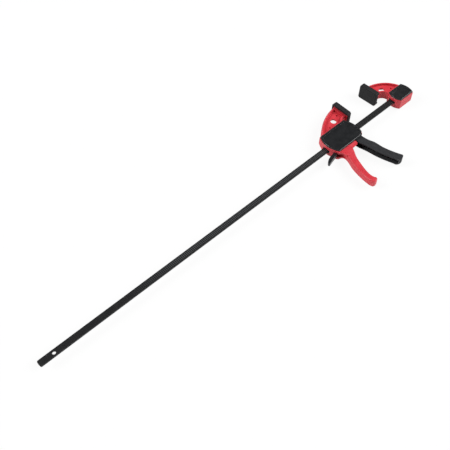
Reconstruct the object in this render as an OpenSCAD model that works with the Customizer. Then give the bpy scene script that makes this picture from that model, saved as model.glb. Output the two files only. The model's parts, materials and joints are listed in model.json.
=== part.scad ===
// One-handed quick release bar clamp, laid on its side.
// Origin: centre of the cross hole near the free end of the bar, half way through the bar.
// +X runs along the bar to the fixed jaw, +Y is the side the jaws stand up on, Z is the thickness.

/* [Bar] */
// Length of the flat steel bar
bar_len = 1192; // [700:1:1300]
// Width of the bar, in the plane of the jaws
bar_w = 16; // [14:0.5:16]
// Thickness of the bar
bar_t = 5; // [4:0.25:5]
// Cross hole at each end of the bar
bar_hole_d = 8.5; // [6:0.5:9]
// Distance from a bar end to its cross hole
bar_hole_in = 38; // [34:1:40]
// Distance from the cross hole to the stop pin
stop_in = 23.5; // [16:0.5:30]

/* [Jaws] */
// Opening between the pad faces as drawn
jaw_gap = 97; // [10:1:300]
// Height of the fixed pad's centre above the middle of the bar
fixed_pad_y = 58.5; // [57:0.5:60]
// Height of the moving pad's centre above the middle of the bar
moving_pad_y = 61.5; // [60:0.5:63]
// Height of a pad, along the jaw
pad_h = 56; // [53:1:58]
// Width of a pad, across the clamp
pad_w = 42.6; // [40:0.2:44]
// Depth of a pad, from its face to the back of its lips
pad_d = 14; // [13:0.5:15]
// Lean of each pad face towards the other one at the tips, in degrees
toe_in = 2; // [0:0.25:3]
// Diameter of the large hole in each jaw arm
arm_hole_d = 16.4; // [12:0.2:17]
// Thickness of the jaw arms over their rims
arm_t = 24; // [20:1:26]
// How far the outer edges of the arms are drawn in
arm_bevel = 3.5; // [1:0.25:4]
// Thickness of the web between the rims
web_t = 4.5; // [4:0.5:7]
// Depth of the pocket in the front face of each arm
pocket = 6; // [4:0.5:8]
// Width of the rim along the throat
rim = 4; // [3.5:0.25:4.25]

/* [Housings] */
// Thickness of the housings with their cover plates on
body_t = 33; // [32:0.5:35]
// Thickness of a cover plate
cover_t = 3.5; // [3:0.25:4]
// Height of the mechanism chamber
mech_t = 20.6; // [20.6:0.1:21]
// How far the back edges of the head are drawn in
back_bevel = 3.5; // [1:0.25:4]
// Gap between the edge of a housing and its cover plate
cover_in = 1.2; // [0.5:0.1:2]
// Gap round the bar in the guides, on each side
guide_gap = 0.3; // [0.2:0.05:0.35]

/* [Trigger] */
// Thickness of the trigger
trigger_t = 19; // [18:0.5:19.5]
// Diameter of the trigger pivot pin
pivot_d = 6; // [5:0.5:6.5]
// Wall of the trigger channel
trigger_wall = 3.2; // [2.5:0.1:3.6]
// Number of ribs across the trigger channel
rib_count = 7; // [3:1:8]

/* [Jam plates and springs] */
// Thickness of one drive plate
drive_t = 3; // [2.5:0.25:3]
// Thickness of the brake plate
brake_t = 4; // [3.5:0.25:4]
// Lean of the locked brake plate, in degrees
brake_lean = 7; // [5:0.5:7]
// Wire of the drive spring
drive_wire = 1.3; // [1:0.1:1.4]
// Wire of the brake spring
brake_wire = 0.9; // [0.6:0.1:1]

/* [Hidden] */
$fn = 96;
red = [0.84, 0.16, 0.2];
black = [0.14, 0.14, 0.15];
rubber = [0.17, 0.17, 0.18];
barSteel = [0.2, 0.2, 0.21];
steel = [0.66, 0.67, 0.69];

bar_x0 = -bar_hole_in;
bar_x1 = bar_len - bar_hole_in;
far_hole_x = bar_x1 - bar_hole_in;
fixed_x = bar_x1 - 87;          // face of the fixed pad, at its centre
head_x = fixed_x - jaw_gap;     // face of the moving pad, at its centre
back = -body_t / 2;             // back face of the housings
front = body_t / 2 - cover_t;   // joint between housing and cover
mech = mech_t / 2;
web_z = arm_t / 2 - pocket;     // front face of the webs

// trigger pivot, release lever pivot and faces of the drive plates, in head coordinates
pivot = [-50, 20];
fulcrum = [-118, -22];
drive_x = -54.2;
wall_x = -88;
brake_spring_y = 14.7;
roller = [-51.8, -14.6];
roller_r = 2.2;
head_screws_at = [[-117, 26], [-92.5, -24], [-35, 24]];
fixed_screws_at = [[46, -15.5], [82, -15.5], [64, 13]];
screw_r = 1.6;
arm_hole_f = [41.7, 43.1];
arm_hole_m = [-48.3, 52.6];

// a smooth open curve through the points p, with n steps between two of them
function spline(a, b, c, d, t) = 0.5 * (2 * b + (c - a) * t + (2 * a - 5 * b + 4 * c - d) * t * t
    + (3 * b - a - 3 * c + d) * t * t * t);
function curve(p, n) = concat([for (i = [0 : len(p) - 2]) for (k = [0 : n - 1])
    spline(p[max(i - 1, 0)], p[i], p[i + 1], p[min(i + 2, len(p) - 1)], k / n)], [p[len(p) - 1]]);
function shifted(p, by) = [for (q = p) q + by];

// outline of a housing: flat sides along the bar, bulging ends, all taken in by d
module barrel(b, d = 0) {
    intersection() {
        translate([b[0] + b[1], (b[4] + b[5]) / 2]) circle(b[1] - d);
        translate([b[2] - b[3], (b[4] + b[5]) / 2]) circle(b[3] - d);
        translate([b[0] + d, b[4] + d]) square([b[2] - b[0] - 2 * d, b[5] - b[4] - 2 * d]);
    }
}
// the same as a block from the back face to the cover, its back edges drawn in by c over the height h
module barrel_block(b, c, h) {
    yc = (b[4] + b[5]) / 2;
    top = front - back;
    intersection() {
        translate([b[0] + b[1], yc, back]) bevelled(b[1], c, h);
        translate([b[2] - b[3], yc, back]) bevelled(b[3], c, h);
        translate([b[0], 0, back]) rotate([90, 0, 90]) linear_extrude(b[2] - b[0]) polygon([
            [b[4] + c, 0], [b[5] - c, 0], [b[5], h], [b[5], top - 1], [b[5] - 0.8, top], [b[4] + 0.8, top],
            [b[4], top - 1], [b[4], h]]);
    }
}
module bevelled(r, c, h) {
    cylinder(h = h, r1 = r - c, r2 = r);
    translate([0, 0, h]) cylinder(h = front - back - h - 1, r = r);
    translate([0, 0, front - back - 1]) cylinder(h = 1, r1 = r, r2 = r - 0.8);
}
// left end, its radius, right end, its radius, lower and upper side
head_shape = [-135.2, 57.5, -23.8, 64, -35.6, 34.1];
fixed_shape = [32.5, 34.5, 95.8, 45.5, -24.4, 19.8];
// cut corner of the head over the root of the trigger
module head_corner(d = 0) polygon([[-20, -37], [-20, -22], [-31.6 - d, -28.6 + d * 0.6], [-34 - d, -32.2 + d],
    [-45 - d, -35.6 + d], [-45 - d, -37]]);
module head_barrel(d = 0) difference() {
    barrel(head_shape, d);
    head_corner(d);
}
// outlines of the covers, nearly flush at the end that faces the fixed jaw
function covered(b) = [b[0] + cover_in, b[1] - cover_in, b[2] - 0.4, b[3] - cover_in, b[4] + cover_in,
    b[5] - cover_in];
module head_cover_outline(d = 0) difference() {
    barrel(covered(head_shape), d);
    head_corner(cover_in + d);
}

// a cover plate: stepped edge, raised border and a flat panel let in to it
module plate() {
    linear_extrude(cover_t - 1.4) children(0);
    difference() {
        linear_extrude(cover_t) children(1);
        translate([0, 0, cover_t - 0.7]) linear_extrude(1) children(2);
    }
}

// a tapping screw: head down in its counterbore, shaft up
module screw() {
    translate([0, 0, back + 0.4]) difference() {
        cylinder(h = 2.2, r = 3);
        translate([-0.5, -2.2, -0.1]) cube([1, 4.4, 1.1]);
        translate([-2.2, -0.5, -0.1]) cube([4.4, 1, 1.1]);
    }
    translate([0, 0, back + 2.6]) cylinder(h = front - 1.5 - back - 2.6, r = screw_r);
}
// what a screw needs in the housing, and the boss of the cover that it cuts into
module screw_hole() translate([0, 0, back - 1]) {
    cylinder(h = body_t, r = screw_r + 0.2);
    cylinder(h = 3.6, r = 3.2);
    translate([0, 0, front - 7 - back]) cylinder(h = 9, r = 3.5);
}
module boss() translate([0, 0, front - 8]) difference() {
    cylinder(h = 8, r = 3.5);
    translate([0, 0, -1]) cylinder(h = 8, r = screw_r);
}

// round wire spring along +X, from x = 0 to x = len
module coil(len, r, wire, turns) {
    steps = 14 * turns;
    sides = 6;
    pitch = (len - wire) / turns;
    ring = function (i) [for (j = [0 : sides - 1]) let (a = 360 * i / 14, b = 360 * j / sides,
        q = r + wire / 2 * cos(b)) [wire / 2 + pitch * i / 14 + wire / 2 * sin(b), q * cos(a), q * sin(a)]];
    pts = [for (i = [0 : steps]) each ring(i)];
    walls = [for (i = [0 : steps - 1]) for (j = [0 : sides - 1])
        let (k = (j + 1) % sides, a = i * sides, b = a + sides)
        each [[a + j, a + k, b + k], [a + j, b + k, b + j]]];
    ends = [[for (j = [sides - 1 : -1 : 0]) j], [for (j = [0 : sides - 1]) steps * sides + j]];
    polyhedron(pts, concat(walls, ends), convexity = 8);
}

module bar() color(barSteel) difference() {
    translate([bar_x0, 0, -bar_t / 2]) linear_extrude(bar_t) polygon([
        [2, -bar_w / 2], [bar_len - 2, -bar_w / 2], [bar_len - 0.4, 2.6 - bar_w / 2], [bar_len, 0],
        [bar_len - 0.4, bar_w / 2 - 2.6], [bar_len - 2, bar_w / 2], [2, bar_w / 2], [0.4, bar_w / 2 - 2.6],
        [0, 0], [0.4, 2.6 - bar_w / 2]]);
    for (x = [0, far_hole_x]) translate([x, 0, -bar_t]) cylinder(h = 2 * bar_t, d = bar_hole_d);
    translate([stop_in, 0, -bar_t]) cylinder(h = 2 * bar_t, r = 1.5);
}

// pin through the bar that keeps the head from running off the free end
module bar_stop() color(barSteel) translate([stop_in, 0, -bar_t / 2 - 1.2]) cylinder(h = bar_t + 2.4, r = 1.5);

// flat plate of a jaw that the pad snaps over; face centre at the origin, body towards +X
module jaw_plate() translate([5, 0, 0]) rotate([90, 0, 90]) linear_extrude(6.2) polygon([
    [3.6 - pad_h / 2, 7.2 - pad_w / 2], [7.6 - pad_h / 2, 3.2 - pad_w / 2],
    [pad_h / 2 - 7.6, 3.2 - pad_w / 2], [pad_h / 2 - 3.6, 7.2 - pad_w / 2],
    [pad_h / 2 - 3.6, pad_w / 2 - 7.2], [pad_h / 2 - 7.6, pad_w / 2 - 3.2],
    [7.6 - pad_h / 2, pad_w / 2 - 3.2], [3.6 - pad_h / 2, pad_w / 2 - 7.2]]);

// soft cap of a jaw, snapped over its plate; face centre at the origin, body towards +X
module pad() difference() {
    union() {
        translate([1.2, 0, 0]) rotate([90, 0, 90]) linear_extrude(pad_d - 1.2) pad_outline(0);
        translate([0.4, 0, 0]) rotate([90, 0, 90]) linear_extrude(1) pad_outline(0.9);
        rotate([90, 0, 90]) linear_extrude(1) pad_outline(3);
    }
    // pocket for the jaw plate
    translate([5, 3.4 - pad_h / 2, 3 - pad_w / 2]) cube([6.4, pad_h - 6.8, pad_w - 6]);
    // gap between the lips behind it
    translate([10, -pad_h / 2 - 1, 7.2 - pad_w / 2]) cube([10, pad_h - 2.4, pad_w - 14.4]);
}
module pad_outline(d) intersection() {
    square([pad_h - 2 * d, pad_w - 2 * d], center = true);
    rotate(45) square([(pad_h + pad_w) * 0.7071 - 5 - d, (pad_h + pad_w) * 0.7071 - 5 - d], center = true);
}

// jaw arms, in the plane of the clamp; d draws the inner edges in, out the curved outer edge
fixed_arc = [11, -7, 84];
moving_arc = [5.7, -81.2, 167.8];
module fixed_arm(d = 0, out = 0) difference() {
    intersection() {
        translate([fixed_arc.x, fixed_arc.y]) circle(fixed_arc.z - out);
        translate([10, 0]) square([86, 82 - d]);
    }
    translate([20, 18]) circle(20.5 + d);
    translate([-5, -1]) square([25, 39.5 + d]);
    translate([19, -1]) square([21.5 + d, 19]);
}
module moving_arm(d = 0, out = 0) difference() {
    intersection() {
        translate([moving_arc.x, moving_arc.y]) circle(moving_arc.z - out);
        translate([-125, 20]) square([115, 64.4 - d - out / 2]);
    }
    translate([-20, 22]) circle(20.5 + d);
    translate([-20, 10]) square([25, 32.5 + d]);
    translate([-40.5 - d, 10]) square([21.5 + d, 12]);
}

// pockets sunk in both faces of an arm, down to the web
module pockets() {
    translate([0, 0, web_z]) linear_extrude(pocket + 1) children(0);
    translate([0, 0, -arm_t / 2 - 1]) linear_extrude(arm_t / 2 + 1 + web_z - web_t) children(1);
}
// disc whose rims are bevelled, for the curved outer edge of an arm
module arm_disc(a) translate([a.x, a.y, 0]) for (s = [0, 1]) mirror([0, 0, s]) {
    cylinder(h = arm_t / 2 - arm_bevel, r = a.z);
    translate([0, 0, arm_t / 2 - arm_bevel]) cylinder(h = arm_bevel, r1 = a.z, r2 = a.z - arm_bevel);
}
module fixed_web(d, out) difference() {
    fixed_arm(d, out);
    translate([0, -5]) square([18.5, 100]);
    translate([0, -5]) square([96, 27.5]);
}
module moving_web(d, out) difference() {
    moving_arm(d, out);
    translate([-18.5, 0]) square([20, 100]);
    translate([-130, 0]) square([130, 37]);
}
module fixed_jaw() color(red) translate([fixed_x, 0, 0]) difference() {
    union() {
        barrel_block(fixed_shape, 1, 1);
        difference() {
            intersection() {
                translate([0, 0, -arm_t / 2]) linear_extrude(arm_t) fixed_arm();
                arm_disc(fixed_arc);
            }
            pockets() {
                fixed_web(rim, arm_bevel + 3.6);
                fixed_web(rim - 1.5, arm_bevel + 1.5);
            }
        }
        translate([0, fixed_pad_y, 0]) rotate(toe_in) jaw_plate();
    }
    translate([arm_hole_f.x, arm_hole_f.y, 0]) cylinder(h = 40, d = arm_hole_d, center = true);
    translate([66, 30.5, web_z - 3.6]) cylinder(h = 12, r = 2.4);
    // socket of the bar, with a wider mouth for the collar
    translate([20, -bar_w / 2 - 0.1, -bar_t / 2 - 0.1]) cube([67.2, bar_w + 0.2, bar_t + 0.2]);
    translate([20, -bar_w / 2 - 2, -bar_t / 2 - 2]) cube([20, bar_w + 4, bar_t + 4]);
    // cross pin and cover screws
    translate([far_hole_x - fixed_x, 0, back + 2]) cylinder(h = body_t, d = bar_hole_d);
    for (p = fixed_screws_at) translate([p.x, p.y, 0]) screw_hole();
}

// black ring round the bar in the mouth of the fixed jaw
module fixed_jaw_collar() color(black) translate([fixed_x, 0, 0]) difference() {
    translate([34, -bar_w / 2 - 2, -bar_t / 2 - 2]) cube([6, bar_w + 4, bar_t + 4]);
    translate([30, -bar_w / 2 - 0.1, -bar_t / 2 - 0.1]) cube([12, bar_w + 0.2, bar_t + 0.2]);
    translate([30, -bar_w / 2 - 1.2, -bar_t / 2 - 1.2]) cube([6.2, bar_w + 2.4, bar_t + 2.4]);
}
module fixed_jaw_cover() color(black) translate([fixed_x, 0, 0]) {
    translate([0, 0, front]) plate() {
        barrel(covered(fixed_shape));
        barrel(covered(fixed_shape), 1);
        barrel(covered(fixed_shape), 6);
    }
    for (p = fixed_screws_at) translate([p.x, p.y, 0]) boss();
}
module fixed_jaw_pin() color(steel) translate([far_hole_x, 0, back + 2])
    cylinder(h = front - back - 2.5, r = bar_hole_d / 2 - 0.03);
module fixed_jaw_screws() color(steel) translate([fixed_x, 0, 0])
    for (p = fixed_screws_at) translate([p.x, p.y, 0]) screw();
module fixed_pad() color(rubber) translate([fixed_x, fixed_pad_y, 0]) rotate(toe_in) pad();

// grip, from its root in the housing down: point on the front (finger side), point on the back,
// half thickness
grip_stations = [
    [[-84, -27], [-117.4, -28], 12.6],
    [[-83.5, -36], [-119.4, -37], 12.8],
    [[-83.5, -42.5], [-117.4, -43], 13],
    [[-85.8, -48], [-116.6, -48.5], 12.8],
    [[-89.2, -53.6], [-117.4, -53.6], 12.2],
    [[-93.8, -60.6], [-119.3, -60.6], 11.4],
    [[-98.7, -68.2], [-122.3, -67.6], 10.8],
    [[-103.1, -77.1], [-126.4, -76.4], 10.6],
    [[-106.5, -85.6], [-129.7, -85], 10.6],
    [[-110.2, -95.6], [-132.3, -95], 10.6],
    [[-113.8, -105.1], [-134.3, -104.7], 10.6],
    [[-117, -114.8], [-135.9, -114.6], 10.6],
    [[-119.4, -124], [-137.2, -124.4], 10.6],
    [[-120.8, -132.2], [-137.9, -133.4], 10.7],
    [[-121.1, -140], [-138.1, -141.3], 11],
    [[-119.9, -145.4], [-137.7, -147.5], 11.4],
    [[-117.6, -149.6], [-136.7, -152], 11.5],
    [[-118.4, -153.4], [-135, -155.6], 10.8],
    [[-122.6, -156.2], [-131.6, -157.4], 8.6]];
module grip() {
    sides = 20;
    function side(v) = sign(v) * sqrt(abs(v));
    function ring(q) = [for (i = [0 : sides - 1])
        let (a = 360 * (i + 0.5) / sides, m = (q[0] + q[1]) / 2 + (q[0] - q[1]) / 2 * side(cos(a)))
        [m.x, m.y, q[2] * side(sin(a))]];
    last = len(grip_stations) - 1;
    walls = [for (k = [0 : last - 1]) for (i = [0 : sides - 1])
        let (j = (i + 1) % sides, a = k * sides, b = a + sides)
        each [[a + i, b + i, b + j], [a + i, b + j, a + j]]];
    polyhedron([for (q = grip_stations) each ring(q)], concat(walls,
        [[for (i = [0 : sides - 1]) i], [for (i = [sides - 1 : -1 : 0]) last * sides + i]]), convexity = 4);
}

module chamber() translate([0, 0, -mech]) linear_extrude(body_t) {
    // front chamber: trigger cheeks, drive plates and drive spring
    intersection() {
        union() { head_barrel(4); translate([-86, -60]) square([52.5, 35]); }
        polygon([[wall_x, -30], [-84, -60], [-33.5, -60], [-33.5, -28], [-28, -20], [-28, 15], [-39, 18.5],
            [-40, 29.5], [wall_x, 29.5]]);
    }
    // rear chamber: brake plate and its spring
    intersection() {
        head_barrel(4);
        translate([-131, -31.5]) square([34, 54]);
    }
}

// skirt in front of the trigger's root, in the plane of the clamp
skirt = concat([[-92, -34.6], [-65, -34.6], [-64.6, -37.6]],
    curve([[-64.8, -39.6], [-66.2, -43.6], [-70, -46.2], [-77, -47], [-86, -47]], 4), [[-92, -46]]);

// opening that the release lever comes out of, and the shallow recess beside it
lever_opening = [[-142, -24.4], [-138, -24.4], [-133, -22.8], [-128, -19.7], [-122, -14.6], [-109, -20],
    [-113, -31], [-120, -32.2], [-127, -33.6], [-134, -36], [-142, -38]];
lever_recess = [[-122, -29], [-118.3, -31], [-115.5, -34.2], [-114.1, -38.3], [-113.6, -44], [-113.8, -54],
    [-124, -54], [-134, -40], [-134, -30]];
lever_wall_back = [[-110, -28], [-130, -28], [-128.3, -32.2], [-125.4, -35.8], [-120, -37.4], [-115.6, -39.2],
    [-112.6, -42.8], [-111.6, -47.4], [-112.6, -53.4], [-104, -54]];
lever_wall_front = [[-110, -30], [-129, -33], [-125.6, -35.6], [-122.4, -38.2], [-120.4, -41.4],
    [-119.4, -44.8], [-118.6, -50], [-118.4, -54], [-110, -58]];

module head_body() color(red) translate([head_x, 0, 0]) difference() {
    union() {
        difference() {
            union() {
                difference() {
                    barrel_block(head_shape, back_bevel, 8);
                    translate([0, 0, back - 1]) linear_extrude(body_t) head_corner();
                }
                grip();
                // walls on both sides of the release lever, filling the corner behind the grip
                translate([0, 0, -13]) linear_extrude(7) polygon(lever_wall_back);
                translate([0, 0, 6]) linear_extrude(6) polygon(lever_wall_front);
            }
            chamber();
            translate([0, 0, -6.6]) linear_extrude(13.2) polygon(lever_opening);
            intersection() {
                translate([0, 0, -6.6]) linear_extrude(13.2) polygon(lever_recess);
                union() {
                    translate([-135, -44, -6.6]) cube([40, 20, 13.2]);
                    translate([-135, -44, 0]) rotate([0, 90, 0]) cylinder(h = 40, r = 6.6);
                }
            }
        }
        translate([0, 0, 10.2]) linear_extrude(front - 10.8) polygon(skirt);
        difference() {
            intersection() {
                translate([0, 0, -arm_t / 2]) linear_extrude(arm_t) difference() {
                    moving_arm();
                    head_barrel(2);
                }
                arm_disc(moving_arc);
            }
            pockets() {
                moving_web(rim, arm_bevel + 3.6);
                moving_web(rim - 1.5, arm_bevel + 1.5);
            }
        }
        translate([0, moving_pad_y, 0]) mirror([1, 0, 0]) rotate(toe_in) jaw_plate();
    }
    translate([arm_hole_m.x, arm_hole_m.y, 0]) cylinder(h = 40, d = arm_hole_d, center = true);
    for (p = [[-26.7, 60.5], [-73.3, 42.5]]) translate([p.x, p.y, web_z - 3.6]) cylinder(h = 12, r = 2.4);
    // passage of the bar and seats of the two guides
    translate([-140, -bar_w / 2 - 1, -bar_t / 2 - 1]) cube([120, bar_w + 2, bar_t + 2]);
    for (x = [-140, -32]) translate([x, -bar_w / 2 - 3, -bar_t / 2 - 3]) cube([13, bar_w + 6, bar_t + 6]);
    // pivot pins, brake spring post and cover screws
    translate([pivot.x, pivot.y, back + 2]) cylinder(h = body_t / 2, d = pivot_d);
    translate([fulcrum.x, fulcrum.y, back + 2]) cylinder(h = body_t / 2, r = 2.5);
    translate([-131.5, brake_spring_y, 0]) rotate([0, 90, 0]) cylinder(h = 8, r = 1.6);
    for (p = head_screws_at) translate([p.x, p.y, 0]) screw_hole();
}

module head_cover() color(black) translate([head_x, 0, 0]) {
    difference() {
        union() {
            translate([0, 0, front]) plate() {
                head_cover_outline();
                head_cover_outline(1);
                head_cover_outline(6.5);
            }
            // pads that hold the pins
            translate([pivot.x, pivot.y, mech + 0.2]) cylinder(h = front - mech, r = 7);
            translate([fulcrum.x, fulcrum.y, mech + 0.2]) cylinder(h = front - mech, r = 6);
        }
        translate([pivot.x, pivot.y, 0]) cylinder(h = front + 0.5, d = pivot_d);
        translate([fulcrum.x, fulcrum.y, 0]) cylinder(h = front + 0.5, r = 2.5);
    }
    for (p = head_screws_at) translate([p.x, p.y, 0]) boss();
}
module head_screws() color(steel) translate([head_x, 0, 0])
    for (p = head_screws_at) translate([p.x, p.y, 0]) screw();

// slide bushings of the head
module guide(x0, len) difference() {
    translate([x0, -bar_w / 2 - 3, -bar_t / 2 - 3]) cube([len, bar_w + 6, bar_t + 6]);
    translate([x0 - 1, -bar_w / 2 - guide_gap, -bar_t / 2 - guide_gap])
        cube([len + 2, bar_w + 2 * guide_gap, bar_t + 2 * guide_gap]);
}
module rear_guide() color(black) translate([head_x, 0, 0]) guide(-133, 6);
module front_guide() color(black) translate([head_x, 0, 0]) guide(-32, 6);

module trigger_pin() color(steel) translate([head_x + pivot.x, pivot.y, back + 2])
    cylinder(h = front - back - 2, d = pivot_d);
module lever_pin() color(steel) translate([head_x + fulcrum.x, fulcrum.y, back + 2])
    cylinder(h = front - back - 2, r = 2.5);
module brake_spring_post() color(steel) translate([head_x - 131.5, brake_spring_y, 0]) rotate([0, 90, 0])
    cylinder(h = 6, r = 1.6);
module moving_pad() color(rubber) translate([head_x, moving_pad_y, 0]) mirror([1, 0, 0])
    rotate(toe_in) pad();

// trigger: front (finger side) from the top down, the end, and the back going up
trigger_front = [[-40.5, 6], [-38.2, -20], [-37, -35], [-36, -47], [-33.6, -59], [-30, -69], [-28.6, -81],
    [-27.6, -96], [-24.6, -110], [-20, -125], [-15.6, -137], [-11.6, -146.6]];
trigger_end = [[-11.6, -146.6], [-13.2, -150.2], [-20, -153], [-28.4, -152.6], [-34.8, -148.6]];
trigger_back = [[-34.8, -148.6], [-37.8, -138], [-42.4, -124.4], [-47.4, -107], [-50.8, -90], [-53.2, -72],
    [-57, -55], [-59.5, -44], [-59.5, -37], [-57, -30]];
trigger_outline = concat([[-43, 18]], curve(trigger_front, 3), curve(trigger_end, 2), curve(trigger_back, 3),
    [[-51, -22], [-51, -20.5], [-53.2, -17], [-53.2, 14]]);
channel = concat(shifted(curve([for (i = [1 : 10]) trigger_front[i]], 3), [-trigger_wall, 0]),
    [[-22, -148.4], [-31, -151.4], [-50, -150], [-62, -110], [-66, -60], [-66, -22], [-51.2, -20]]);

module trigger() color(black) translate([head_x, 0, 0]) difference() {
    union() {
        difference() {
            translate([0, 0, -trigger_t / 2]) linear_extrude(trigger_t) polygon(trigger_outline);
            translate([0, 0, 3 - trigger_t / 2]) linear_extrude(trigger_t - 6) polygon(channel);
        }
        translate([pivot.x, pivot.y, -trigger_t / 2]) cylinder(h = trigger_t, r = 8);
        // ribs across the channel
        intersection() {
            translate([0, 0, 1 - trigger_t / 2]) linear_extrude(trigger_t - 2) intersection() {
                polygon(trigger_outline);
                translate([7, 0]) polygon(trigger_outline);
            }
            for (i = [1 : rib_count]) translate([-70, -40 - i * 100 / (rib_count + 0.5), -trigger_t / 2])
                cube([60, 1.8, trigger_t]);
        }
    }
    // window for the bar, and holes for the bushing and the roller
    translate([-70, -19, -3.6]) cube([40, 30.8, 7.2]);
    translate([pivot.x, pivot.y, -trigger_t]) cylinder(h = 2 * trigger_t, r = pivot_d / 2 + 2);
    translate([roller.x, roller.y, -trigger_t]) cylinder(h = 2 * trigger_t, r = roller_r);
}
module trigger_bushing() color(steel) translate([head_x + pivot.x, pivot.y, -trigger_t / 2]) difference() {
    cylinder(h = trigger_t, r = pivot_d / 2 + 2);
    translate([0, 0, -1]) cylinder(h = trigger_t + 2, r = pivot_d / 2 + 0.05);
}
module drive_roller() color(steel) translate([head_x + roller.x, roller.y, -trigger_t / 2])
    cylinder(h = trigger_t, r = roller_r);

// plate with a slot for the bar, standing across it
module jam_plate(x0, thick) translate([x0, 0, 0]) rotate([90, 0, 90]) linear_extrude(thick) difference() {
    translate([-17, -9]) square([29.5, 18]);
    translate([-bar_w / 2 - 0.4, -bar_t / 2 - 0.4]) square([bar_w + 0.8, bar_t + 0.8]);
}
module drive_plate_front() color(steel) translate([head_x, 0, 0]) jam_plate(drive_x - drive_t, drive_t);
module drive_plate_rear() color(steel) translate([head_x, 0, 0]) jam_plate(drive_x - 2 * drive_t, drive_t);
module spring_washer() color(steel) translate([head_x + wall_x, 0, 0]) rotate([90, 0, 90])
    linear_extrude(1) difference() {
        square([2 * mech - 0.4, 2 * mech - 0.4], center = true);
        square([bar_w + 1.4, bar_t + 1.4], center = true);
    }
module drive_spring() color(steel) translate([head_x + wall_x + 1.1, 0, 0])
    coil(drive_x - 2 * drive_t - wall_x - 1.3, mech - 0.4 - drive_wire / 2, drive_wire, 6);

// brake plate, leaning towards the fixed jaw about the lever pivot
module brake_plate() color(steel) translate([head_x + fulcrum.x, fulcrum.y, 0]) rotate(-brake_lean) {
    mid = -fulcrum.y / cos(brake_lean);
    difference() {
        union() {
            translate([-brake_t / 2, 9, -9.2]) cube([brake_t, mid + 10, 18.4]);
            translate([-brake_t / 2, 4, -4]) cube([brake_t, 6, 8]);
        }
        translate([-brake_t, mid - bar_w / 2 - 0.4, -bar_t / 2 - 0.4])
            cube([2 * brake_t, bar_w + 0.8, bar_t + 0.8]);
    }
}

// release lever, seen from the side: upper edge from the pivot out to the tip, and the lower edge back
lever_top = [[-117, -14.1], [-122, -15.6], [-128, -20.6], [-133, -22.6], [-138.5, -23.6], [-145.5, -24.8],
    [-153, -27], [-159.8, -29.8], [-165, -33.4], [-168, -37]];
lever_low = [[-168, -37], [-168.4, -39.4], [-165.6, -40.6], [-158.4, -38.4], [-151, -36.2], [-143, -34.3],
    [-134.7, -32.6], [-127.6, -31.2], [-119, -29.9]];
module release_lever() color(black) translate([head_x, 0, 0]) difference() {
    union() {
        intersection() {
            translate([0, 0, -6]) linear_extrude(12)
                polygon(concat(curve(lever_top, 3), curve(lever_low, 3)));
            rotate([90, 0, 0]) linear_extrude(60) polygon([[-100, -6], [-156, -6], [-162, -5.4], [-166, -4.2],
                [-169, -2.4], [-169, 2.4], [-166, 4.2], [-162, 5.4], [-156, 6], [-100, 6]]);
        }
        translate([fulcrum.x, fulcrum.y, -6]) cylinder(h = 12, r = 8);
    }
    translate([fulcrum.x, fulcrum.y, -10]) cylinder(h = 20, r = 2.55);
    // socket of the brake plate's foot
    translate([fulcrum.x, fulcrum.y, 0]) rotate(-brake_lean)
        translate([-brake_t / 2, 4, -4]) cube([brake_t, 12, 8]);
}
module brake_spring() color(steel) translate([head_x - 127.7, brake_spring_y, 0])
    coil(11.3, 2.9, brake_wire, 5);

bar();
bar_stop();
fixed_jaw();
fixed_jaw_collar();
fixed_jaw_cover();
fixed_jaw_pin();
fixed_jaw_screws();
fixed_pad();
head_body();
head_cover();
head_screws();
rear_guide();
front_guide();
moving_pad();
trigger_pin();
lever_pin();
brake_spring_post();
trigger();
trigger_bushing();
drive_roller();
drive_plate_front();
drive_plate_rear();
spring_washer();
drive_spring();
brake_plate();
release_lever();
brake_spring();
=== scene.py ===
import json
import math

import bpy
from mathutils import Matrix, Vector

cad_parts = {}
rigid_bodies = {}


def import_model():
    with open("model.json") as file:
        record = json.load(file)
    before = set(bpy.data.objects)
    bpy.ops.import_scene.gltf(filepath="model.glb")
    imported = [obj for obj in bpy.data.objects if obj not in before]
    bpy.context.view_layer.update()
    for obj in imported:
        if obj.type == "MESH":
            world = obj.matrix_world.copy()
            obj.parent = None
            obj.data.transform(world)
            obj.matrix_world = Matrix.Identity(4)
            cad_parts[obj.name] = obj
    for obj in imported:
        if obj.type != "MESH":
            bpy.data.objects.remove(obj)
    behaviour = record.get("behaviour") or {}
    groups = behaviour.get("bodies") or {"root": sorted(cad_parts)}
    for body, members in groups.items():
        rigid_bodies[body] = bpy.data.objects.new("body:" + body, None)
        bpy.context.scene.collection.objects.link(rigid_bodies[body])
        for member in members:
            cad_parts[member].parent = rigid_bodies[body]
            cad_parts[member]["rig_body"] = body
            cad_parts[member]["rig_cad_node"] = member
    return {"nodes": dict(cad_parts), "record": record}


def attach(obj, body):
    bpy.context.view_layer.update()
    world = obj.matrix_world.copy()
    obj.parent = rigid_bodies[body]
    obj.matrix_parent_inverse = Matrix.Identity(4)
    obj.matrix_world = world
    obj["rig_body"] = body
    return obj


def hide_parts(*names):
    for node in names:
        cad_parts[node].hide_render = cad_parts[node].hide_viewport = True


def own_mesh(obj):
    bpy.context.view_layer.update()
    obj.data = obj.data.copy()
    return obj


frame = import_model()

nodes = frame["nodes"]
slotOf = {part["node"]: part["material_slot"] for part in frame["record"]["subparts"]}
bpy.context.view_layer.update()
mm = 0.001

# camera: stands off the free end, above the handles; place in mm, turns in radians, reach in m
view = {"place": (-195.07, -710.97, 1314.01), "yaw": 0.809821, "pitch": 0.928329, "roll": 0.010669,
        "lens": 56.0, "sensor": 36.0, "reach": 50.0}


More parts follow.
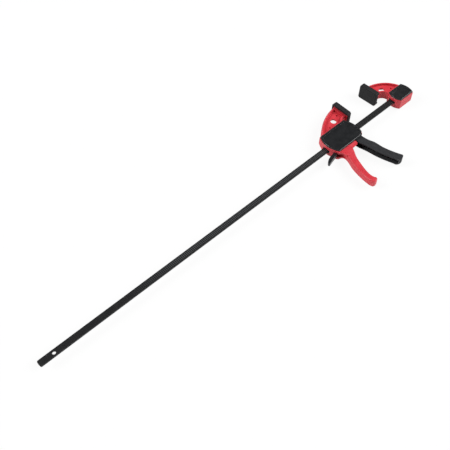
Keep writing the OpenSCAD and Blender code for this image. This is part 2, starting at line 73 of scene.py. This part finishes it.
def placeCamera(p):
    flat = math.cos(p["pitch"])
    ahead = Vector((flat * math.cos(p["yaw"]), flat * math.sin(p["yaw"]), -math.sin(p["pitch"])))
    side = ahead.cross(Vector((0, 0, 1))).normalized()
    up = side.cross(ahead)
    c, s = math.cos(p["roll"]), math.sin(p["roll"])
    lens = bpy.data.cameras.new("benchCamera")
    lens.lens = p["lens"]
    lens.sensor_width = p["sensor"]
    lens.clip_end = p["reach"]
    cam = bpy.data.objects.new("benchCamera", lens)
    bpy.context.scene.collection.objects.link(cam)
    turn = Matrix((side * c + up * s, up * c - side * s, -ahead)).transposed().to_4x4()
    cam.matrix_world = Matrix.Translation(Vector(p["place"]) * mm) @ turn
    bpy.context.scene.camera = cam


placeCamera(view)
print("camera placed")


def linear(hexColour):
    parts = [int(hexColour[i:i + 2], 16) / 255 for i in (1, 3, 5)]
    return tuple(p / 12.92 if p <= 0.04045 else ((p + 0.055) / 1.055) ** 2.4 for p in parts) + (1,)


def addNode(mat, kind, settings=None, links=None):
    # a key is a node property, or a socket by name or number
    node = mat.node_tree.nodes.new(kind)
    for key, value in (settings or {}).items():
        if isinstance(key, int) or key in node.inputs:
            node.inputs[key].default_value = value
        else:
            setattr(node, key, value)
    for key, source in (links or {}).items():
        mat.node_tree.links.new(source, node.inputs[key])
    return node


# a Mix node's sockets by number: the two colours, the mixed colour, and the two plain values
colourA, colourB, mixedColour, valueA, valueB = 6, 7, 2, 2, 3


def startFinish(name, settings):
    mat = bpy.data.materials.new(name)
    mat.use_nodes = True
    skin = mat.node_tree.nodes["Principled BSDF"]
    for key, value in settings.items():
        skin.inputs[key].default_value = value
    return mat, skin


def blendColours(mat, factor, dark, light):
    mix = addNode(mat, "ShaderNodeMix", {"data_type": "RGBA", "clamp_factor": True}, {"Factor": factor})
    mix.inputs[colourA].default_value = linear(dark)
    mix.inputs[colourB].default_value = linear(light)
    return mix.outputs[mixedColour]


def wearColour(mat, skin, factor, body, worn):
    # the worn colour over the body's, as the skin's colour
    mix = addNode(mat, "ShaderNodeMix", {"data_type": "RGBA"}, {"Factor": factor, colourA: body})
    mix.inputs[colourB].default_value = linear(worn)
    mat.node_tree.links.new(mix.outputs[mixedColour], skin.inputs["Base Color"])


def varySheen(mat, skin, pattern, rough, swing):
    sheen = addNode(mat, "ShaderNodeMapRange", {"To Min": rough - swing, "To Max": rough + swing},
                    {"Value": pattern})
    mat.node_tree.links.new(sheen.outputs["Result"], skin.inputs["Roughness"])


def addRelief(mat, skin, pattern, strength, depthMm):
    bump = addNode(mat, "ShaderNodeBump", {"Strength": strength, "Distance": depthMm * mm},
                   {"Height": pattern})
    mat.node_tree.links.new(bump.outputs["Normal"], skin.inputs["Normal"])


# moulded plastic and rubber: cloudy colour, worn lighter where an edge stands out, fine eroded grain
def mouldedFinish(name, p):
    mat, skin = startFinish(name, {"IOR": p["ior"], "Specular IOR Level": p["specular"]})
    place = addNode(mat, "ShaderNodeTexCoord").outputs["Object"]
    stretched = addNode(mat, "ShaderNodeMapping", {"Scale": p["stretch"]}, {"Vector": place})
    cloud = addNode(mat, "ShaderNodeTexNoise",
                    {"Scale": 1 / (p["cloudMm"] * mm), "Detail": 4.0, "Roughness": 0.6},
                    {"Vector": stretched.outputs["Vector"]})
    spread = addNode(mat, "ShaderNodeMapRange",
                     {"From Min": p["cloudSpan"][0], "From Max": p["cloudSpan"][1]},
                     {"Value": cloud.outputs["Fac"]})
    body = blendColours(mat, spread.outputs["Result"], p["dark"], p["light"])
    point = addNode(mat, "ShaderNodeNewGeometry").outputs["Pointiness"]
    edge = addNode(mat, "ShaderNodeMapRange",
                   {"From Min": p["edgeSpan"][0], "From Max": p["edgeSpan"][1], "To Max": p["wear"]},
                   {"Value": point})
    wearColour(mat, skin, edge.outputs["Result"], body, p["worn"])
    varySheen(mat, skin, cloud.outputs["Fac"], p["rough"], p["swing"])
    grain = addNode(mat, "ShaderNodeTexNoise", {"Scale": 1 / (p["grainMm"] * mm), "Detail": 2.0},
                    {"Vector": place})
    addRelief(mat, skin, grain.outputs["Fac"], 1.0, p["depthMm"])
    return mat


# blackened steel: mottled oxide, dull, its ribs rubbed brighter (wear), but only along a stretch of the bar,
# which is a painted sheen, with painted shade past its ends
def oxideFinish(name, p):
    mat, skin = startFinish(name, {"Metallic": p["metal"], "IOR": p["ior"],
                                   "Specular IOR Level": p["specular"]})
    place = addNode(mat, "ShaderNodeTexCoord").outputs["Object"]
    cloud = addNode(mat, "ShaderNodeTexNoise",
                    {"Scale": 1 / (p["cloudMm"] * mm), "Detail": 5.0, "Roughness": 0.65}, {"Vector": place})
    body = blendColours(mat, cloud.outputs["Fac"], p["dark"], p["light"])
    apart = addNode(mat, "ShaderNodeSeparateXYZ", {}, {"Vector": place})
    high = addNode(mat, "ShaderNodeMath", {"operation": "ABSOLUTE"}, {0: apart.outputs["Z"]})
    rubbed = addNode(mat, "ShaderNodeMapRange",
                     {"From Min": p["ribMm"][0] * mm, "From Max": p["ribMm"][1] * mm, "To Max": p["rub"]},
                     {"Value": high.outputs[0]})
    # the span along the bar where the ribs are drawn lighter: a painted sheen inside it, painted shade
    # outside it
    start, full, fade, end = p["paintedSheenSpanMm"]
    starts = addNode(mat, "ShaderNodeMapRange", {"From Min": start * mm, "From Max": full * mm},
                     {"Value": apart.outputs["X"]})
    stops = addNode(mat, "ShaderNodeMapRange", {"From Min": end * mm, "From Max": fade * mm},
                    {"Value": apart.outputs["X"]})
    paintedSheenRamp = addNode(mat, "ShaderNodeMath", {"operation": "MULTIPLY"},
                  {0: starts.outputs[0], 1: stops.outputs[0]})
    ribWearAndSheen = addNode(mat, "ShaderNodeMath", {"operation": "MULTIPLY"},
                    {0: rubbed.outputs[0], 1: paintedSheenRamp.outputs[0]})
    wearColour(mat, skin, ribWearAndSheen.outputs[0], body, p["worn"])
    varySheen(mat, skin, cloud.outputs["Fac"], p["rough"], p["swing"])
    pits = addNode(mat, "ShaderNodeTexNoise", {"Scale": 1 / (p["pitMm"] * mm), "Detail": 2.0},
                   {"Vector": place})
    addRelief(mat, skin, pits.outputs["Fac"], 0.6, p["depthMm"])
    return mat


# bare steel: bright grey with a changing sheen and drawn lines, which are shown coarser than the real ones
def drawnSteel(name, p):
    mat, skin = startFinish(name, {"Metallic": 1.0})
    place = addNode(mat, "ShaderNodeTexCoord").outputs["Object"]
    lines = addNode(mat, "ShaderNodeMapping", {"Scale": p["stretch"]}, {"Vector": place})
    noise = addNode(mat, "ShaderNodeTexNoise", {"Scale": 1 / (p["lineMm"] * mm), "Detail": 3.0},
                    {"Vector": lines.outputs["Vector"]})
    body = blendColours(mat, noise.outputs["Fac"], p["dark"], p["light"])
    mat.node_tree.links.new(body, skin.inputs["Base Color"])
    varySheen(mat, skin, noise.outputs["Fac"], p["rough"], p["swing"])
    addRelief(mat, skin, noise.outputs["Fac"], 0.3, p["depthMm"])
    return mat


# what the moulded finishes share, unless one says otherwise; their spark-eroded grain is drawn at 0.8 mm
# or more, coarser than the real 0.3 mm, so that it shows
mouldedBase = {"stretch": (1, 1, 1), "cloudSpan": (0.3, 0.7), "edgeSpan": (0.55, 0.65), "swing": 0.07,
               "ior": 1.5}
# glass-filled nylon 6, injection moulded: satin red with faint flow clouds and a shallow grain
redNylon = mouldedFinish("glassFilledNylonRed", {
    **mouldedBase, "dark": "#C42C37", "light": "#D03843", "worn": "#DC5860", "wear": 0.35, "cloudMm": 22,
    "grainMm": 1.6, "depthMm": 0.03, "rough": 0.48, "ior": 1.52, "specular": 0.5})
# the same nylon in black, on covers, collar, guides and lever: deep black, nearly matt, with a fine grain
blackNylon = mouldedFinish("mouldedNylonBlack", {
    **mouldedBase, "dark": "#191A1C", "light": "#222325", "worn": "#4A4C4E", "wear": 0.5, "cloudMm": 16,
    "grainMm": 0.8, "depthMm": 0.06, "rough": 0.32, "specular": 0.4})
# its raised edges are rubbed smooth by hands and catch the light
rubbedNylon = mouldedFinish("rubbedNylonBlack", {
    **mouldedBase, "dark": "#1D1E20", "light": "#262729", "worn": "#4A4C4E", "wear": 0.5, "cloudMm": 16,
    "grainMm": 1.2, "depthMm": 0.02, "rough": 0.2, "specular": 0.5})
# the trigger's nylon: drawn greyer and less glossy than the covers, with flow lines along its length
triggerNylon = mouldedFinish("glassFilledNylonBlack", {
    **mouldedBase, "dark": "#2B2C2E", "light": "#39393B", "worn": "#6C6E70", "wear": 0.7, "cloudMm": 5,
    "stretch": (1.6, 0.35, 1.6), "grainMm": 0.8, "depthMm": 0.07, "rough": 0.5, "specular": 0.06})
# thermoplastic elastomer of the caps: soft, matt, slightly brown black
padRubber = mouldedFinish("thermoplasticElastomer", {
    **mouldedBase, "dark": "#1D1D1E", "light": "#28282A", "worn": "#3C3D3D", "wear": 0.3, "cloudMm": 12,
    "grainMm": 0.9, "depthMm": 0.12, "rough": 0.7, "specular": 0.2})
# hot rolled spring steel, blackened and oiled: mottled oxide, its ribs rubbed grey (wear), but only along
# the middle of the bar, a painted sheen; blacker towards the free end and the fixed jaw, painted shade
blackBar = oxideFinish("blackenedSpringSteel", {
    "dark": "#171718", "light": "#242526", "worn": "#56585A", "rub": 0.8, "ribMm": (2.38, 2.5),
    "paintedSheenSpanMm": (190, 340, 920, 980), "cloudMm": 14, "pitMm": 0.8, "depthMm": 0.05, "rough": 0.5, "swing": 0.1,
    "metal": 0.2, "ior": 1.5, "specular": 0.3})
# hardened plates, pins and screws: plain steel with drawn lines
plateSteel = drawnSteel("hardenedPlateSteel", {
    "dark": "#8C8E90", "light": "#B4B6B8", "lineMm": 1.5, "stretch": (1, 1, 6), "rough": 0.36,
    "swing": 0.08, "depthMm": 0.03})
# spring wire, cold drawn and oiled: darker and smoother
springWire = drawnSteel("oiledSpringWire", {
    "dark": "#6E7072", "light": "#95979A", "lineMm": 1.0, "stretch": (1, 1, 1), "rough": 0.3,
    "swing": 0.08, "depthMm": 0.03})

finishes = {"red_nylon": redNylon, "black_plastic": blackNylon, "soft_pad": padRubber,
            "black_bar": blackBar, "plain_steel": plateSteel, "spring_steel": springWire}
for nodeName, slot in slotOf.items():
    mesh = nodes[nodeName].data
    mesh.materials.clear()
    mesh.materials.append(finishes[slot])
print("finishes on", len(nodes), "nodes")


def selectOnly(obj):
    bpy.ops.object.select_all(action="DESELECT")
    obj.select_set(True)
    bpy.context.view_layer.objects.active = obj


def selectWhere(obj, test):
    # selects the faces whose centre and normal pass the test, and leaves edit mode on
    bpy.ops.object.mode_set(mode="EDIT")
    bpy.ops.mesh.select_mode(type="FACE")
    bpy.ops.mesh.select_all(action="DESELECT")
    bpy.ops.object.mode_set(mode="OBJECT")
    for face in obj.data.polygons:
        face.select = test(face.center, face.normal)
    bpy.ops.object.mode_set(mode="EDIT")


def selectAllFaces(obj):
    # leaves edit mode on
    selectOnly(obj)
    bpy.ops.object.mode_set(mode="EDIT")
    bpy.ops.mesh.select_mode(type="FACE")
    bpy.ops.mesh.select_all(action="SELECT")


# a normal along an axis is taken as facing it from here on
facing = 0.9
# points this close are one, and faces this near to one plane are one face
cleaning = {"mergeMm": 0.004, "flat": 0.6}


# a merged copy of a CAD node, its flat faces made whole, ready for work on its edges
def copyNode(nodeName, pieceName):
    selectOnly(nodes[nodeName])
    bpy.ops.object.duplicate()
    piece = bpy.context.object
    piece.name = pieceName
    piece.data.name = pieceName
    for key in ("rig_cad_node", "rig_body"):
        if key in piece:
            del piece[key]
    piece.parent = None
    selectAllFaces(piece)
    bpy.ops.mesh.remove_doubles(threshold=cleaning["mergeMm"] * mm)
    bpy.ops.mesh.dissolve_limited(angle_limit=math.radians(cleaning["flat"]))
    bpy.ops.object.mode_set(mode="OBJECT")
    return piece


def roundEdges(piece, p):
    bevel = piece.modifiers.new("roundedEdges", "BEVEL")
    bevel.width = p["roundMm"] * mm
    bevel.segments = p["steps"]
    bevel.limit_method = "ANGLE"
    bevel.angle_limit = math.radians(p["over"])
    bevel.use_clamp_overlap = True
    bevel.miter_outer = "MITER_ARC"
    selectOnly(piece)
    bpy.ops.object.modifier_apply(modifier=bevel.name)


def finishPiece(piece, nodeName, smooth):
    selectOnly(piece)
    bpy.ops.object.shade_smooth_by_angle(angle=math.radians(smooth))
    # flat faces stay flat beside their rounded edges
    even = piece.modifiers.new("evenShading", "WEIGHTED_NORMAL")
    even.keep_sharp = True
    bpy.ops.object.modifier_apply(modifier=even.name)
    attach(piece, nodes[nodeName]["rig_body"])
    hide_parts(nodeName)
    print(piece.name, "ready,", len(piece.data.polygons), "faces")


# shells, trigger and lever: the CAD shape with the edges that moulding leaves
moulded = {
    "fixed_jaw": {"piece": "fixedJawShell", "roundMm": 0.8, "steps": 3, "over": 28, "smooth": 35},
    "head_body": {"piece": "headShell", "roundMm": 0.8, "steps": 3, "over": 28, "smooth": 35},
    "trigger": {"piece": "pumpTrigger", "roundMm": 1.1, "steps": 3, "over": 32, "smooth": 35,
                "finish": triggerNylon},
    "release_lever": {"piece": "releaseTab", "roundMm": 1.2, "steps": 3, "over": 32, "smooth": 35}}
for nodeName, p in moulded.items():
    piece = copyNode(nodeName, p["piece"])
    if "finish" in p:
        piece.data.materials.clear()
        piece.data.materials.append(p["finish"])
    roundEdges(piece, p)
    finishPiece(piece, nodeName, p["smooth"])

# cover plates: a wide soft edge all round the raised border, small ones elsewhere
covers = {"edgeMm": 1.3, "edgeSteps": 4, "roundMm": 0.35, "steps": 2, "over": 30, "smooth": 40,
          "topMm": 16.5, "slackMm": 0.05, "wallMm": 1.3, "slope": (0.15, 0.98)}


def buildCover(nodeName, pieceName, p):
    cover = copyNode(nodeName, pieceName)
    top = p["topMm"] - p["slackMm"]
    high = [v.co.z / mm for v in cover.data.vertices]
    rim = set()  # upper edges of the outer walls
    for face in cover.data.polygons:
        heights = [high[i] for i in face.vertices]
        if max(heights) > top and max(heights) - min(heights) > p["wallMm"]:
            rim.update(key for key in face.edge_keys if all(high[i] > top for i in key))
    selectOnly(cover)
    bpy.ops.object.mode_set(mode="EDIT")
    bpy.ops.mesh.select_all(action="DESELECT")
    bpy.ops.mesh.select_mode(type="EDGE")
    bpy.ops.object.mode_set(mode="OBJECT")
    for edge in cover.data.edges:
        edge.select = edge.key in rim
    bpy.ops.object.mode_set(mode="EDIT")
    bpy.ops.mesh.bevel(offset=p["edgeMm"] * mm, segments=p["edgeSteps"], profile=0.5, affect="EDGES")
    bpy.ops.object.mode_set(mode="OBJECT")
    cover.data.materials.append(rubbedNylon)
    low, high = p["slope"]
    for face in cover.data.polygons:  # the rounded edge takes the rubbed finish
        if low < face.normal.z < high and face.center.z / mm > p["topMm"] - p["edgeMm"]:
            face.material_index = 1
    roundEdges(cover, p)
    finishPiece(cover, nodeName, p["smooth"])


buildCover("head_cover", "headCoverPlate", covers)
buildCover("fixed_jaw_cover", "fixedCoverPlate", covers)

# soft caps, in mm: drawn with the face at the origin and the body towards +X, then turned and moved to the
# jaw; plate is the room for the jaw's plate (from, to, high, wide), lips the slot behind it that leaves
# lips at the sides and a wall on top (from, to, wide, wall)
pads = {"high": 56.0, "wide": 42.6, "deep": 14.0, "corner": 3.5, "faceIn": 3.0, "faceOut": 0.9, "toeIn": 2.0,
        "plate": (5.0, 11.4, 49.2, 36.6), "lips": (10.0, 14.2, 28.2, 3.4), "past": 1.0, "mergeMm": 0.01,
        "roundMm": 1.1, "steps": 3, "over": 12, "smooth": 40, "fill": 1.0,
        "fixed_pad": {"piece": "fixedPadCap", "face": (1067.0, 58.5), "way": 1},
        "moving_pad": {"piece": "movingPadCap", "face": (970.0, 61.5), "way": -1}}


def hollow(cap, low, high):
    # cuts a box between two corners, in mm, out of the cap
    bpy.ops.object.select_all(action="DESELECT")
    middle = [(a + b) / 2 * mm for a, b in zip(low, high)]
    bpy.ops.mesh.primitive_cube_add(size=1, location=middle, scale=[(b - a) * mm for a, b in zip(low, high)])
    cutter = bpy.context.object
    cut = cap.modifiers.new("hollow", "BOOLEAN")
    cut.object = cutter
    cut.operation = "DIFFERENCE"
    cut.solver = "EXACT"
    selectOnly(cap)
    bpy.ops.object.modifier_apply(modifier=cut.name)
    bpy.data.objects.remove(cutter)


def buildPad(nodeName, p):
    own = p[nodeName]
    bpy.ops.object.select_all(action="DESELECT")
    bpy.ops.mesh.primitive_cube_add(size=1, location=((p["deep"] + p["faceOut"]) / 2 * mm, 0, 0),
                                    scale=((p["deep"] - p["faceOut"]) * mm, p["high"] * mm, p["wide"] * mm))
    cap = bpy.context.object
    cap.name = own["piece"]
    cap.data.name = own["piece"]
    bpy.ops.object.transform_apply(location=True, rotation=False, scale=True)
    # corners cut, seen from the front
    selectWhere(cap, lambda centre, normal: abs(normal.x) > facing)
    bpy.ops.mesh.select_mode(type="EDGE")
    bpy.ops.mesh.select_all(action="INVERT")
    bpy.ops.mesh.bevel(offset=p["corner"] * mm, segments=1, affect="EDGES")
    # front face drawn in and pushed forward: the cap's border slopes back
    selectWhere(cap, lambda centre, normal: normal.x < -facing)
    bpy.ops.mesh.inset(thickness=p["faceIn"] * mm)
    bpy.ops.transform.translate(value=(-p["faceOut"] * mm, 0, 0))
    bpy.ops.object.mode_set(mode="OBJECT")
    near, far, tall, across = p["plate"]
    hollow(cap, (near, -tall / 2, -across / 2), (far, tall / 2, across / 2))
    near, far, across, wall = p["lips"]
    hollow(cap, (near, -p["high"] / 2 - p["past"], -across / 2), (far, p["high"] / 2 - wall, across / 2))
    roundEdges(cap, p)
    selectAllFaces(cap)
    bpy.ops.mesh.remove_doubles(threshold=p["mergeMm"] * mm)
    bpy.ops.object.mode_set(mode="OBJECT")
    cap.scale.x = own["way"]
    cap.rotation_euler.z = own["way"] * math.radians(p["toeIn"])
    cap.location = (own["face"][0] * mm, own["face"][1] * mm, 0)
    bpy.ops.object.transform_apply(location=True, rotation=True, scale=True)
    selectAllFaces(cap)
    bpy.ops.mesh.normals_make_consistent(inside=False)
    bpy.ops.object.mode_set(mode="OBJECT")
    cap.data.materials.append(padRubber)
    finishPiece(cap, nodeName, p["smooth"])


for nodeName in ("fixed_pad", "moving_pad"):
    buildPad(nodeName, pads)

# bar: thinned by the height of its ribs, which are then set on both faces; their pitch is drawn at 4.4 mm,
# coarser than the real 1.5 mm, so that they show; the ribs left out are those over the cross hole and the
# stop pin near the free end, counted from that end
ribbed = {"piece": "flatBar", "roundMm": 0.6, "steps": 2, "over": 32, "smooth": 35, "high": 0.3, "wide": 2.2,
          "long": 11.6, "taper": (0.55, 0.93), "pitch": 4.4, "from": -33.0, "to": 1104.0,
          "leftOut": (7, 8, 13)}


def buildBar(p):
    bar = copyNode("bar", p["piece"])
    halfThick = max(v.co.z for v in bar.data.vertices)
    selectAllFaces(bar)
    bpy.ops.transform.resize(value=(1, 1, 1 - p["high"] * mm / halfThick))
    bpy.ops.object.mode_set(mode="OBJECT")
    roundEdges(bar, p)
    ribs = []
    for side in (1, -1):
        bpy.ops.object.select_all(action="DESELECT")
        bpy.ops.mesh.primitive_cube_add(size=1,
                                        location=(p["from"] * mm, 0, side * (halfThick - p["high"] * mm)),
                                        scale=(p["wide"] * mm, p["long"] * mm, 2 * p["high"] * mm))
        bpy.ops.object.transform_apply(location=True, rotation=False, scale=True)
        rib = bpy.context.object
        selectWhere(rib, lambda centre, normal: normal.z * side > facing)
        bpy.ops.transform.resize(value=(*p["taper"], 1))
        bpy.ops.object.mode_set(mode="OBJECT")
        row = rib.modifiers.new("row", "ARRAY")
        row.use_relative_offset = False
        row.use_constant_offset = True
        row.constant_offset_displace = (p["pitch"] * mm, 0, 0)
        row.count = int((p["to"] - p["from"]) / p["pitch"])
        bpy.ops.object.modifier_apply(modifier=row.name)
        selectWhere(rib, lambda centre, normal:
                    round((centre.x / mm - p["from"]) / p["pitch"]) in p["leftOut"])
        bpy.ops.mesh.delete(type="FACE")
        bpy.ops.object.mode_set(mode="OBJECT")
        rib.data.materials.append(blackBar)
        ribs.append(rib)
    bpy.ops.object.select_all(action="DESELECT")
    for obj in ribs + [bar]:
        obj.select_set(True)
    bpy.context.view_layer.objects.active = bar
    bpy.ops.object.join()
    finishPiece(bar, "bar", p["smooth"])


buildBar(ribbed)

# springs, copied from the CAD coils; the real ones shorten towards the end that holds still
springs = {
    "drive_spring": {"piece": "driveSpringCoil", "joint": "drive_plates_slide", "heldMm": 883.1,
                     "keep": 0.53, "smooth": 50},
    "brake_spring": {"piece": "brakeSpringCoil", "joint": "release_lever_pivot", "heldMm": 842.3,
                     "keep": 0.55, "smooth": 50}}
for nodeName, p in springs.items():
    coil = copyNode(nodeName, p["piece"])
    finishPiece(coil, nodeName, p["smooth"])
    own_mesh(coil)


def seenRays(mat):
    # 1 for rays that only see or mirror a thing, 0 for those that carry its light
    rays = addNode(mat, "ShaderNodeLightPath").outputs
    seen = addNode(mat, "ShaderNodeMath", {"operation": "MAXIMUM"},
                   {0: rays["Is Camera Ray"], 1: rays["Is Glossy Ray"]})
    return addNode(mat, "ShaderNodeMath", {"operation": "MAXIMUM"},
                   {0: seen.outputs[0], 1: rays["Is Transmission Ray"]}).outputs[0]


# floor: level, just under the lower edges of the pads, so that it stays clear of the head all along the bar
ground = {"middle": (500.0, 0.0, -21.5), "size": 8000.0, "shade": 0.86, "glow": 0.92}


def layFloor(p):
    bpy.ops.object.select_all(action="DESELECT")
    bpy.ops.mesh.primitive_plane_add(size=p["size"] * mm, location=[c * mm for c in p["middle"]])
    floor = bpy.context.object
    floor.name = "whiteFloor"
    mat = bpy.data.materials.new("whitePaper")
    mat.use_nodes = True
    mat.node_tree.nodes.clear()
    paper = addNode(mat, "ShaderNodeBsdfDiffuse", {"Color": (p["shade"], p["shade"], p["shade"], 1)})
    glow = addNode(mat, "ShaderNodeEmission", {"Strength": 1.0})
    part = addNode(mat, "ShaderNodeMath", {"operation": "MULTIPLY", 1: p["glow"]}, {0: seenRays(mat)})
    mix = addNode(mat, "ShaderNodeMixShader", {},
                  {0: part.outputs[0], 1: paper.outputs[0], 2: glow.outputs[0]})
    addNode(mat, "ShaderNodeOutputMaterial", {}, {"Surface": mix.outputs[0]})
    floor.data.materials.append(mat)


layFloor(ground)

# a white sweep all round that fades upwards into a dim ceiling; it is only seen and mirrored, and the tent
# is what it gives as light
backdrop = {"tent": 0.06, "sweep": 1.0, "ceiling": 0.06, "fade": (0.2, 0.5)}


def hangSweep(p):
    world = bpy.data.worlds.new("lightTent")
    world.use_nodes = True
    bpy.context.scene.world = world
    way = addNode(world, "ShaderNodeTexCoord").outputs["Generated"]
    height = addNode(world, "ShaderNodeSeparateXYZ", {}, {"Vector": way}).outputs["Z"]
    sweep = addNode(world, "ShaderNodeMapRange",
                    {"From Min": p["fade"][0], "From Max": p["fade"][1], "To Min": p["sweep"],
                     "To Max": p["ceiling"]}, {"Value": height})
    strength = addNode(world, "ShaderNodeMix", {"data_type": "FLOAT", valueA: p["tent"]},
                       {"Factor": seenRays(world), valueB: sweep.outputs["Result"]})
    back = world.node_tree.nodes["Background"]
    back.inputs["Color"].default_value = (1, 1, 1, 1)
    world.node_tree.links.new(strength.outputs[0], back.inputs["Strength"])


hangSweep(backdrop)

# two soft lamps: from is the way they stand, round and above, and spread their width, in degrees
lamps = {"keyLamp": {"from": (315, 45), "spread": 40, "strength": 3.1},
         "backLamp": {"from": (145, 38), "spread": 30, "strength": 2.4}}


def hangLamp(name, p):
    lamp = bpy.data.lights.new(name, "SUN")
    lamp.angle = math.radians(p["spread"])
    lamp.energy = p["strength"]
    obj = bpy.data.objects.new(name, lamp)
    bpy.context.scene.collection.objects.link(obj)
    around, above = (math.radians(turn) for turn in p["from"])
    flat = math.cos(above)
    towards = Vector((flat * math.cos(around), flat * math.sin(around), math.sin(above)))
    obj.matrix_world = (-towards).to_track_quat("-Z", "Y").to_matrix().to_4x4()


for name, p in lamps.items():
    hangLamp(name, p)
bpy.context.scene.view_settings.view_transform = "Standard"
print("floor and lamps set")
